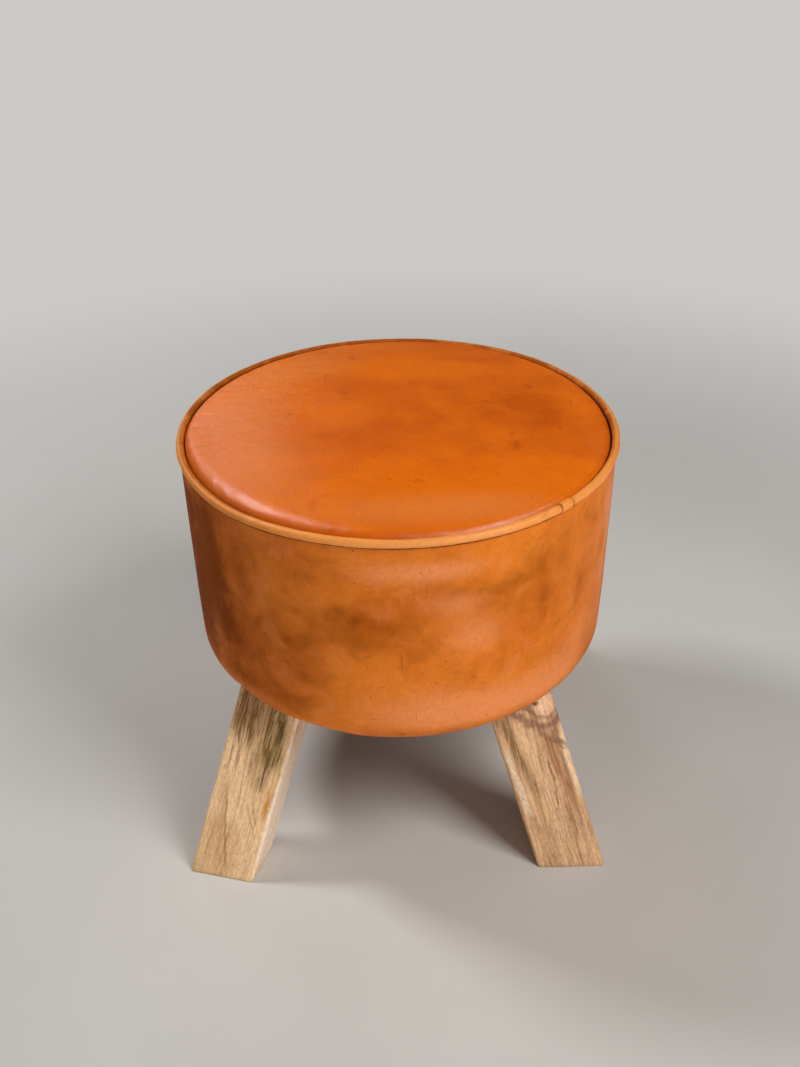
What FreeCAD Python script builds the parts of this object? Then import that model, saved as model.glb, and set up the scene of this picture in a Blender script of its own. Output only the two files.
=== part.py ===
# A round leather stool: a padded drum with piping round its seat, on four splayed wooden legs.
# Millimetres, +Z up. The origin is on the floor below the middle of the seat, and -Y is the front.
import FreeCAD, Part
import math
import os

from FreeCAD import Matrix, Placement, Vector

os.makedirs("parts", exist_ok=True)

# Overall form, over the leather
side_radius = 225.0
rim_height = 437.0  # middle of the piping above the floor
body_depth = 259.0  # middle of the piping down to the leather's underside
round_height = 43.0
round_reach = 70.0  # how far the lower round runs in under the body
seat_rise = 8.0  # middle of the seat above the middle of the piping
seat_drop = 6.0  # middle of the seat down to where the pad rolls off
seat_flat_radius = 110.0  # the crown is near enough flat inside this
seat_roll_radius = 12.0

# Leather and piping
leather = 2.2
piping_leather = 1.3
piping_radius = 4.5
piping_overhang = 5.0  # how far the piping stands out beyond the side
seat_turn_down = 8.0  # how far the seat panel's edge runs down inside the seam
seam_gap = 0.4  # between the butted edges of two sewn panels
side_seam_angle = 12.0  # degrees from +X, and the other seam is opposite
hem_width = 50.0  # how far the leather runs in under the body from the lower round
join_wrap_leather = 0.9
join_wrap_angle = -46.2  # degrees from +X, at the front right
join_wrap_width = 16.0

# Frame inside the body
side_padding = 13.2  # foam round the hoop
base_board_thickness = 18.0
top_board_thickness = 18.0
closing_board_thickness = 12.0
closing_board_margin = 2.0  # the closing board ends this far inside the lower round
hoop_thickness = 5.0
rail_width = 40.0
rail_height = 30.0
post_width = 40.0
post_depth = 32.0
post_inset = 39.0  # edge of the boards in to the middle of a post
seat_foam_depth = 37.0  # top board up to the middle of the piping
dust_cover_lap = 23.0  # how far the dust cover laps over the hem
dust_cover_thickness = 0.8

# Legs: a leg's head stands under the base board at an angle from +X, its middle set in from
# the board's edge, and a turn is that of its broad face from facing the front
leg_width = 70.0
leg_thickness = 52.0
leg_lean = 17.6  # degrees outwards to the side, and as much to the front or back
leg_eased_edge = 2.5
foot_chamfer = 1.5
front_left_angle = 224.05
front_left_inset = 35.0
front_left_turn = 19.0
front_right_angle = 314.75
front_right_inset = 48.4
front_right_turn = 6.0

# Blocks behind the heads of the legs, and one bolt down into each leg
block_width = 44.0
block_depth = 24.0
bolt_radius = 4.0
bolt_grip = 50.0  # how far a bolt runs down into its leg
bolt_head_flats = 13.0
bolt_head_height = 5.3

# Clearances
soft_gap = 0.3  # between soft or curved neighbours
leg_gap = 0.5  # between a leg and what it passes through
bolt_gap = 0.15
overrun = 20.0  # how far every cut runs past its piece

# Straight steps that follow the curved sections
round_steps = 4
roll_steps = 2
edge_roll_steps = 1
piping_sides = 6
cord_sides = 4

UP = Vector(0, 0, 1)

# Levels and radii that follow
rim_radius = side_radius + piping_overhang
board_radius = side_radius - leather - side_padding - 2 * soft_gap - hoop_thickness
post_circle_radius = board_radius - post_inset
body_bottom = rim_height - body_depth
closing_bottom = body_bottom + leather
rail_bottom = closing_bottom + closing_board_thickness
base_bottom = rail_bottom + rail_height
base_top = base_bottom + base_board_thickness
top_board_top = rim_height - seat_foam_depth
top_board_bottom = top_board_top - top_board_thickness
round_centre_radius = side_radius - round_reach
round_centre_height = body_bottom + round_height
closing_board_radius = round_centre_radius - closing_board_margin
hem_inner_radius = round_centre_radius - hem_width
dust_cover_radius = hem_inner_radius + dust_cover_lap
piping_centre_radius = rim_radius - piping_radius
piping_foot = piping_radius * math.cos(math.pi / piping_sides)  # its flat underside
seam_height = rim_height - piping_foot - soft_gap
seat_edge_radius = piping_centre_radius - piping_radius - soft_gap
seat_edge_bottom = seam_height - seat_turn_down


# Shapes that the pieces share
def outline_face(points):
    """A face through points given as radius and height."""
    corners = [Vector(radius, 0, height) for radius, height in points]
    return Part.Face(Part.makePolygon(corners + corners[:1]))


def turned(points, start=0, sweep=360):
    """An outline swept round the stool's axis, from a start angle in degrees."""
    face = outline_face(points)
    face.rotate(Vector(), UP, start)
    return face.revolve(Vector(), UP, sweep)


def disc(radius, bottom, height):
    return Part.makeCylinder(radius, height, Vector(0, 0, bottom), UP)


def ring(inner, outer, bottom, top):
    return turned([(inner, bottom), (outer, bottom), (outer, top), (inner, top)])


def slab(bottom, top):
    """All the room between two heights."""
    half = 2 * rim_radius
    return Part.makeBox(2 * half, 2 * half, top - bottom, Vector(-half, -half, bottom))


def body_outline(depth, steps=round_steps):
    """Points up the body at a depth inside its leather surface, from under it to the seam."""
    points = []
    for step in range(steps + 1):
        turn = math.pi / 2 * step / steps
        radius = round_centre_radius + (round_reach - depth) * math.sin(turn)
        points.append((radius, round_centre_height - (round_height - depth) * math.cos(turn)))
    return points + [(side_radius - depth, seam_height)]


def seat_outline(depth):
    """Points over the seat at a depth inside its leather surface, from its middle down its roll."""
    run = seat_edge_radius - seat_roll_radius
    crown_radius = (run**2 + seat_drop**2) / (2 * seat_drop)
    crown_centre = rim_height + seat_rise - crown_radius
    lean = math.asin(run / (crown_radius - seat_roll_radius))
    roll_height = crown_centre + (crown_radius - seat_roll_radius) * math.cos(lean)
    reach = crown_radius - depth
    flat_height = crown_centre + math.sqrt(reach**2 - seat_flat_radius**2)
    points = [(0, flat_height), (seat_flat_radius, flat_height)]
    points.append((reach * math.sin(lean), crown_centre + reach * math.cos(lean)))
    for step in range(1, roll_steps + 1):
        turn = lean + (math.pi / 2 - lean) * step / roll_steps
        reach = seat_roll_radius - depth
        points.append((run + reach * math.sin(turn), roll_height + reach * math.cos(turn)))
    return points


def piping_outline(radius, sides):
    """Points round the piping's section, with a corner outwards."""
    turns = [2 * math.pi * side / sides for side in range(sides)]
    return [
        (piping_centre_radius + radius * math.cos(turn), rim_height + radius * math.sin(turn))
        for turn in turns
    ]


class Leg:
    """Where one leg stands and how it leans: across its face, out of its face, and up its length."""

    def __init__(self, angle, inset, turn):
        angle, turn = math.radians(angle), math.radians(turn)
        side, end = math.copysign(1, math.cos(angle)), math.copysign(1, math.sin(angle))
        lean = math.tan(math.radians(leg_lean))
        reach = board_radius - inset
        self.head = Vector(reach * math.cos(angle), reach * math.sin(angle), base_bottom)
        self.up = Vector(-side * lean, -end * lean, 1).normalize()
        self.out = Vector(side * math.sin(turn), end * math.cos(turn), 0)
        self.out = (self.out - self.up * self.out.dot(self.up)).normalize()
        self.across = self.out.cross(self.up)

    def middle(self, height):
        """The point of the leg's middle line at a height."""
        return self.head + self.up * ((height - base_bottom) / self.up.z)

    def bar(self, width, inner, outer, bottom, top, eased=0):
        """A bar that leans with the leg, from inner to outer through its face, cut level."""
        reach = overrun + leg_width
        length = (top - bottom) / self.up.z + 2 * reach
        box = Part.makeBox(width, outer - inner, length, Vector(-width / 2, inner, 0))
        if eased:
            long_edges = [edge for edge in box.Edges if edge.BoundBox.ZLength > length / 2]
            box = box.makeChamfer(eased, long_edges)
        start = self.middle(bottom) - self.up * reach
        a, o, u = self.across, self.out, self.up
        box.Placement = Placement(
            Matrix(a.x, o.x, u.x, start.x, a.y, o.y, u.y, start.y, a.z, o.z, u.z, start.z)
        )
        return box.common(slab(bottom, top)).Solids[0]

    def room(self, outwards=0):
        """The room that the leg takes in the body, open by a distance beyond its face."""
        half = leg_thickness / 2 + leg_gap
        width = leg_width + 2 * leg_gap
        return self.bar(width, -half, half + outwards, body_bottom - overrun, base_bottom)

    def block_room(self):
        inner = -leg_thickness / 2 - block_depth - soft_gap
        return self.bar(block_width + 2 * soft_gap, inner, 0, body_bottom, base_bottom)

    def bolt_place(self):
        """The foot of the upright bolt, midway down which it crosses the leg's middle line."""
        crossing = self.middle(base_bottom - bolt_grip / 2)
        return Vector(crossing.x, crossing.y, base_bottom - bolt_grip)


# The back pair are the front pair after half a turn of the stool.
legs = {
    "front_left": Leg(front_left_angle, front_left_inset, front_left_turn),
    "front_right": Leg(front_right_angle, front_right_inset, front_right_turn),
    "back_left": Leg(front_right_angle - 180, front_right_inset, front_right_turn),
    "back_right": Leg(front_left_angle - 180, front_left_inset, front_left_turn),
}
quarters = {"right": 0, "back": 90, "left": 180, "front": 270}


def without_legs(shape):
    return shape.cut([leg.room() for leg in legs.values()])


def bolt_hole(leg):
    depth = bolt_grip + base_board_thickness + overrun
    return Part.makeCylinder(bolt_radius + bolt_gap, depth, leg.bolt_place(), UP)


# Legs, their blocks and bolts
def leg_piece(leg):
    half = leg_thickness / 2
    piece = leg.bar(leg_width, -half, half, 0, base_bottom, leg_eased_edge)
    foot_edges = [edge for edge in piece.Edges if edge.BoundBox.ZMax < foot_chamfer]
    return piece.makeChamfer(foot_chamfer, foot_edges).cut(bolt_hole(leg))


def block_piece(leg):
    back = -leg_thickness / 2
    return leg.bar(block_width, back - block_depth, back, rail_bottom, base_bottom)


def leg_bolt(leg):
    """A hex-headed bolt whose head sits on the base board."""
    shank = Part.makeCylinder(bolt_radius, bolt_grip + base_board_thickness, leg.bolt_place(), UP)
    corner = bolt_head_flats / math.sqrt(3)
    seat = leg.bolt_place() + UP * (bolt_grip + base_board_thickness)
    turns = [math.pi / 3 * side for side in range(7)]
    corners = [seat + Vector(corner * math.cos(turn), corner * math.sin(turn), 0) for turn in turns]
    return shank.fuse(Part.Face(Part.makePolygon(corners)).extrude(UP * bolt_head_height))


# Boards, rails, posts and hoop
def base_board():
    piece = disc(board_radius, base_bottom, base_board_thickness)
    return piece.cut([bolt_hole(leg) for leg in legs.values()])


def rail(angle, notch_bottom):
    """A rail across the middle, halved over the other one from notch_bottom."""
    half_width = rail_width / 2
    half_length = math.sqrt(closing_board_radius**2 - half_width**2)
    corner = Vector(-half_length, -half_width, rail_bottom)
    piece = Part.makeBox(2 * half_length, rail_width, rail_height, corner)
    notch_corner = Vector(-half_width, -half_width, notch_bottom)
    piece = piece.cut(Part.makeBox(rail_width, rail_width, rail_height / 2, notch_corner))
    piece.rotate(Vector(), UP, angle)
    return piece


def post(angle):
    corner = Vector(post_circle_radius - post_depth / 2, -post_width / 2, base_top)
    piece = Part.makeBox(post_depth, post_width, top_board_bottom - base_top, corner)
    piece.rotate(Vector(), UP, angle)
    return piece


def side_hoop():
    """The bent sheet that joins the two boards round their edges."""
    return ring(board_radius, board_radius + hoop_thickness, base_bottom, top_board_top)


# Padding
def seat_foam():
    """The crowned pad on the top board."""
    crown = seat_outline(leather + soft_gap)
    return turned(crown + [(crown[-1][0], top_board_top), (0, top_board_top)])


def side_foam():
    """The even sheet of foam round the hoop."""
    inner = board_radius + hoop_thickness + soft_gap
    return ring(inner, inner + side_padding, base_bottom, top_board_top)


def edge_roll(angle):
    """The strip of padding between two legs, under the edge of the base board."""
    inner = closing_board_radius + soft_gap
    depth = leather + soft_gap
    outline = [(inner, body_bottom + depth)] + body_outline(depth, edge_roll_steps)
    quarter = 360 / len(quarters)
    piece = turned(outline + [(inner, seam_height)], angle - quarter / 2, quarter)
    piece = piece.common(slab(body_bottom, base_bottom))
    rooms = [leg.room(rim_radius) for leg in legs.values()] + [leg.block_room() for leg in legs.values()]
    return max(piece.cut(rooms).Solids, key=lambda solid: solid.Volume)


# Leather
def top_leather():
    """The seat panel, with its edge turned down into the seam."""
    outer, inner = seat_outline(0), seat_outline(leather)
    edge = [(outer[-1][0], seat_edge_bottom), (inner[-1][0], seat_edge_bottom)]
    return turned(outer + edge + inner[::-1])


def side_panel(start):
    """Half of the side leather, turned under the body as a hem."""
    hem = [(hem_inner_radius, closing_bottom), (hem_inner_radius, body_bottom)]
    gap_angle = math.degrees(seam_gap / side_radius)
    outline = body_outline(0) + body_outline(leather)[::-1] + hem
    return without_legs(turned(outline, start + gap_angle / 2, 180 - gap_angle))


def dust_cover():
    """The cloth disc over the hem's inner edge."""
    bottom = body_bottom - dust_cover_thickness
    return without_legs(disc(dust_cover_radius, bottom, dust_cover_thickness))


def piping_cord():
    return turned(piping_outline(piping_radius - piping_leather, cord_sides))


def piping_strip():
    """The strip of leather round the cord."""
    return turned(piping_outline(piping_radius, piping_sides)).cut(piping_cord())


def piping_join_wrap():
    """The short strip that covers the join in the piping."""
    sweep = math.degrees(join_wrap_width / piping_centre_radius)
    start = join_wrap_angle - sweep / 2
    outside = piping_outline(piping_radius + join_wrap_leather, piping_sides)
    wrap = turned(outside, start, sweep).common(slab(seam_height + soft_gap, rim_height + overrun))
    return max(wrap.cut([piping_strip(), piping_cord()]).Solids, key=lambda solid: solid.Volume)


pieces = {
    "base_board": base_board(),
    "top_board": disc(board_radius, top_board_bottom, top_board_thickness),
    "closing_board": without_legs(disc(closing_board_radius, closing_bottom, closing_board_thickness)),
    "cross_rail_side_to_side": rail(0, rail_bottom + rail_height / 2),
    "cross_rail_front_to_back": rail(90, rail_bottom),
    "side_hoop": side_hoop(),
    "seat_foam": seat_foam(),
    "side_foam": side_foam(),
    "top_leather": top_leather(),
    "side_leather_front": side_panel(side_seam_angle + 180),
    "side_leather_back": side_panel(side_seam_angle),
    "piping_strip": piping_strip(),
    "piping_cord": piping_cord(),
    "piping_join_wrap": piping_join_wrap(),
    "dust_cover": dust_cover(),
    "leg_bolts": Part.makeCompound([leg_bolt(leg) for leg in legs.values()]),
}
for name, leg in legs.items():
    pieces[f"leg_{name}"] = leg_piece(leg)
    pieces[f"leg_block_{name}"] = block_piece(leg)
for name, angle in quarters.items():
    pieces[f"post_{name}"] = post(angle)
    pieces[f"edge_roll_{name}"] = edge_roll(angle)
for name, piece in pieces.items():
    piece.exportStep(f"parts/{name}.step")
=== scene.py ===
import bpy
import math
import numpy as np
from mathutils import Matrix, Vector


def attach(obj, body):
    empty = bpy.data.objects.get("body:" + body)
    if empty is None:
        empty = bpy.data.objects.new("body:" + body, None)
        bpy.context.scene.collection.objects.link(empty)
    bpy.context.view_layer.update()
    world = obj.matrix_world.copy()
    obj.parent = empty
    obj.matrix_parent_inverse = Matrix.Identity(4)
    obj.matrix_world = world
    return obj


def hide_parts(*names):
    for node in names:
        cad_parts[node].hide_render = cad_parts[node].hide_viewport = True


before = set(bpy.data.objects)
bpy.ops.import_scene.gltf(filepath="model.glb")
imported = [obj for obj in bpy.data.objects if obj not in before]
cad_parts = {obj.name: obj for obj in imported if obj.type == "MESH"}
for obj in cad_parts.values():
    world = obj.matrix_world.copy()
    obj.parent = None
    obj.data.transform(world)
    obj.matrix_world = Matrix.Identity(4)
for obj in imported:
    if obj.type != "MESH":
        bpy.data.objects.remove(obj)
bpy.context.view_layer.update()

# Sizes in metres, as the frame has them, and places round the drum in degrees
PIPE_R, PIPE_S, PIPE_Z = 0.2258, 0.0042, 0.4368  # the piping's ring, its section, its height
SIDE_TOP_R, SIDE_LOW_R, ROUND_TOP_Z = 0.2268, 0.2234, 0.221  # the side, down to where it turns in
ROUND_CENTRE_R, BOTTOM_Z, HEM_R = 0.155, 0.178, 0.105
FOAM_R = 0.2228  # outer face of the padding round the side
SIDE_HIDE, SEAT_HIDE = 0.0022, 0.0018  # thickness of the leather
SEAT_TOP_Z, SEAT_HEM_Z, TOP_BOARD_Z = 0.4466, 0.4250, 0.400
CROWN = 2.2  # power of the seat's curve: flat in the middle, falling off towards the roll
PAD_GAP = 0.0026  # from the seat's face to the pad under it
LEG_W, LEG_T, LEG_TOP_Z, LEG_LEAN = 0.070, 0.052, 0.2222, 17.6
CLOTH_R = 0.128
RIM_R, SEAT_R = 0.226, 0.22  # for lengths round the side, and for puckers round it and round the seat
UNDER_Z = 0.2  # below this the side's leather has turned in under the body
SIDE_SEAM, JOIN_FROM, JOIN_TO = 12.0, -48.8, -44.8
FULL_TURN = 2 * math.pi


def around(degrees, table):
    """Smooth values round the rim from a few (angle, value) pairs."""
    places, values = zip(*table)
    ring = np.arange(360)
    line = np.interp(ring, places, values, period=360)
    weight = np.hanning(27)
    line = np.convolve(np.concatenate([line[-30:], line, line[:30]]), weight / weight.sum(), "same")[30:-30]
    return np.interp(np.asarray(degrees) % 360, ring, line, period=360)


def in_metres(rows, first, last):
    """The rows, with columns first to last - 1 turned from millimetres into metres."""
    return [(*row[:first], *(value / 1000 for value in row[first:last]), *row[last:]) for row in rows]


# The rim is not quite level: the piping is drawn down at the front left and a little at the back
RIM_DIP = in_metres([(0, 0.0), (40, 0.6), (60, 1.0), (95, 1.6), (130, 0.5), (160, 0.0), (200, 0.4), (214, 1.8),
                     (224, 3.0), (236, 1.6), (250, 0.4), (270, 0.0)], 1, 2)


def add_camera():
    """The photograph's camera: focal length in its pixels, place, tilt and roll."""
    cam = bpy.data.cameras.new("camera")
    cam.sensor_fit = "VERTICAL"
    cam.sensor_height = 36.0
    cam.lens = 1200.0 * 36.0 / 1067.0
    cam.clip_start = 0.05
    obj = bpy.data.objects.new("camera", cam)
    tilt = Matrix.Rotation(math.radians(90 - 32.377), 4, "X")
    roll = Matrix.Rotation(math.radians(-0.898), 4, "Z")
    obj.matrix_world = Matrix.Translation((0.0005, -1.1210, 1.0154)) @ tilt @ roll
    bpy.context.scene.collection.objects.link(obj)
    bpy.context.scene.camera = obj


add_camera()


# Smooth noise for shapes, the same on every run
def lattice(ix, iy, iz, seed):
    h = (ix * 374761393 + iy * 668265263 + iz * 2147483647 + seed * 1274126177) & 0xFFFFFFFF
    h = ((h ^ (h >> 13)) * 1274126177) & 0xFFFFFFFF
    h = (h ^ (h >> 16)) & 0xFFFFFFFF
    return h / 0x7FFFFFFF - 1.0


def smooth_noise(points, scale, seed):
    """Noise from -1 to 1 at points, with about scale features to the metre."""
    p = np.asarray(points, float) * scale + 1000.0
    base = np.floor(p).astype(np.int64)
    frac = p - base
    w = frac * frac * frac * (frac * (frac * 6 - 15) + 10)
    total = np.zeros(len(p))
    for corner in np.ndindex(2, 2, 2):
        share = np.where(corner, w, 1 - w).prod(axis=1)
        total += share * lattice(*(base + corner).T, seed)
    return total


def layered(points, scale, seed):
    """Two layers of noise, the second finer and weaker."""
    return (smooth_noise(points, scale, seed) + 0.5 * smooth_noise(points, scale * 2, seed + 1)) / 1.5


def rise(value, width):
    """0 up to where value is 0, then rising, and 1 from where it is width."""
    return np.clip(value / width, 0, 1)


def bell(value, width):
    """1 where value is 0, falling off on both sides, to a third at width."""
    return np.exp(-(value / width) ** 2)


# Mesh helpers. Points run row by row; where a grid is closed, its last column joins its first.
def make_object(name, vertices, faces, material):
    mesh = bpy.data.meshes.new(name)
    mesh.from_pydata([tuple(v) for v in vertices], [], faces)
    mesh.validate()
    mesh.update()
    mesh.polygons.foreach_set("use_smooth", [True] * len(mesh.polygons))
    obj = bpy.data.objects.new(name, mesh)
    bpy.context.scene.collection.objects.link(obj)
    obj.data.materials.append(material)
    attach(obj, "root")
    return obj


def set_attributes(obj, **attributes):
    """Values at the points, one or three to a point, that the materials read by name."""
    for name, values in attributes.items():
        values = np.asarray(values, np.float32)
        kind, key = ("FLOAT_VECTOR", "vector") if values.ndim == 2 else ("FLOAT", "value")
        obj.data.attributes.new(name, kind, "POINT").data.foreach_set(key, values.ravel())


def grid_faces(rows, columns, closed=False, looped=False, flip=False, first=0):
    """Faces of a grid. A looped one also joins its last row to its first."""
    i, j = np.mgrid[:rows if looped else rows - 1, :columns if closed else columns - 1].reshape(2, -1)
    below, beside = (i + 1) % rows * columns, (j + 1) % columns
    faces = first + np.stack([i * columns + j, i * columns + beside, below + beside, below + j], axis=1)
    return (faces[:, ::-1] if flip else faces).tolist()


def fan_faces(centre, first, columns, flip=False):
    """Triangles from a centre point to the closed ring that starts at first."""
    faces = [(centre, first + j, first + (j + 1) % columns) for j in range(columns)]
    return [face[::-1] for face in faces] if flip else faces


def dome_faces(rows, columns, first=0, flip=False):
    """A middle point and the rings round it, facing up unless flipped."""
    return fan_faces(first, first + 1, columns, flip) + grid_faces(rows, columns, True, False, not flip, first + 1)


def band_faces(upper, lower, columns):
    """Faces between two closed rings that start at these points."""
    beside = [(j + 1) % columns for j in range(columns)]
    return [(upper + j, lower + j, lower + beside[j], upper + beside[j]) for j in range(columns)]


def tube_faces(rows, columns, first=0):
    """Rings one after another, with both ends closed."""
    ends = [list(range(start, start + columns)) for start in (first, first + (rows - 1) * columns)]
    return grid_faces(rows, columns, closed=True, first=first) + [ends[0][::-1], ends[1]]


def shell_faces(rows, columns):
    """Two grids, the second behind the first, joined along all four edges."""
    count = rows * columns
    index = np.arange(count).reshape(rows, columns)
    edge = np.concatenate([index[0], index[1:, -1], index[-1, -2::-1], index[-2:0:-1, 0]]).tolist()
    rim = [(a, count + a, count + b, b) for a, b in zip(edge, edge[1:] + edge[:1])]
    return grid_faces(rows, columns) + grid_faces(rows, columns, flip=True, first=count) + rim


def turned(radius, height, angles):
    """Points at these radii and heights, at angles in radians."""
    x, y = radius * np.cos(angles), radius * np.sin(angles)
    return np.stack(np.broadcast_arrays(x, y, height + 0 * x), axis=-1).reshape(-1, 3)


def outward(radius, height):
    """Unit directions square to the line down each column, out of the drum: radius part, height part."""
    dr, dz = np.gradient(radius, axis=0), np.gradient(height, axis=0)
    length = np.hypot(dr, dz)
    return -dz / length, dr / length


def resample(profile, spacing):
    """The same line with points at an even spacing."""
    p = np.asarray(profile, float)
    length = np.concatenate([[0], np.cumsum(np.hypot(*(p[1:] - p[:-1]).T))])
    wanted = np.linspace(0, length[-1], int(round(length[-1] / spacing)) + 1)
    return np.stack([np.interp(wanted, length, p[:, 0]), np.interp(wanted, length, p[:, 1])], axis=1)


# Materials
class Tree:
    """Small helper round a material's nodes. A value is a number, a colour or another node's output."""

    def __init__(self, name):
        self.material = bpy.data.materials.new(name)
        self.material.use_nodes = True
        self.nodes = self.material.node_tree.nodes
        self.shader = next(n for n in self.nodes if n.type == "BSDF_PRINCIPLED")

    def put(self, socket, value):
        if isinstance(value, bpy.types.NodeSocket):
            self.material.node_tree.links.new(value, socket)
        elif isinstance(value, tuple):
            socket.default_value = (*value, 1)[:len(socket.default_value)]
        elif value is not None:
            socket.default_value = value

    def add(self, kind, inputs, **settings):
        node = self.nodes.new("ShaderNode" + kind)
        for key, value in settings.items():
            setattr(node, key, value)
        for key, value in inputs.items():
            self.put(node.inputs[key], value)
        return node

    def position(self):
        return self.add("TexCoord", {}).outputs["Object"]

    def attribute(self, name, output="Fac"):
        return self.add("Attribute", {}, attribute_name=name).outputs[output]

    def split(self, source):
        return self.add("SeparateXYZ", {0: source}).outputs

    def mapped(self, source, scale, offset=(0, 0, 0), turn=(0, 0, 0)):
        inputs = {"Vector": source, "Scale": scale, "Location": offset, "Rotation": turn}
        return self.add("Mapping", inputs).outputs["Vector"]

    def noise(self, source, scale, detail=4, roughness=0.5, distortion=0.0, output="Fac"):
        inputs = {"Vector": source, "Scale": scale, "Detail": detail, "Roughness": roughness,
                  "Distortion": distortion}
        return self.add("TexNoise", inputs).outputs[output]

    def voronoi(self, source, scale):
        return self.add("TexVoronoi", {"Vector": source, "Scale": scale}).outputs["Distance"]

    def ramp(self, source, *stops):
        node = self.add("ValToRGB", {"Fac": source})
        elements = node.color_ramp.elements
        elements.remove(elements[-1])
        for i, (place, colour) in enumerate(stops):
            element = elements.new(place) if i else elements[0]
            element.position = place
            element.color = (*colour, 1)
        return node.outputs["Color"]

    def math(self, operation, *values):
        return self.add("Math", dict(enumerate(values)), operation=operation).outputs[0]

    def times(self, a, b, *more):
        """Product of two or more values."""
        product = self.math("MULTIPLY", a, b)
        return self.times(product, *more) if more else product

    def plus(self, a, b):
        return self.math("ADD", a, b)

    def minus(self, a, b):
        return self.math("SUBTRACT", a, b)

    def swing(self, source, width):
        """A value round 0.5 turned into one round 0, width times as strong."""
        return self.math("MULTIPLY_ADD", source, width, -0.5 * width)

    def length(self, *parts):
        """Square root of the sum of squares."""
        total = self.times(parts[0], parts[0])
        for part in parts[1:]:
            total = self.plus(total, self.times(part, part))
        return self.math("SQRT", total)

    def range(self, source, low, high, to_low=0.0, to_high=1.0, curve="SMOOTHSTEP"):
        inputs = {"Value": source, "From Min": low, "From Max": high, "To Min": to_low, "To Max": to_high}
        return self.add("MapRange", inputs, interpolation_type=curve).outputs["Result"]

    def mix(self, factor, a, b, blend="MIX"):
        return self.add("Mix", {0: factor, 6: a, 7: b}, data_type="RGBA", blend_type=blend).outputs[2]

    def scaled(self, colour, source, low, high, to_low, to_high):
        """The colour made darker or lighter by a factor that follows source."""
        return self.mix(1.0, colour, self.range(source, low, high, to_low, to_high), "MULTIPLY")

    def bump(self, height, strength, distance, normal=None):
        inputs = {"Strength": strength, "Distance": distance, "Height": height, "Normal": normal}
        return self.add("Bump", inputs).outputs["Normal"]

    def finish(self, colour, roughness, normal, **plain):
        for key, value in {"Base Color": colour, "Roughness": roughness, "Normal": normal, **plain}.items():
            self.put(self.shader.inputs[key.replace("_", " ")], value)
        return self.material


def darker(colour, share):
    return tuple(part * share for part in colour)


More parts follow.
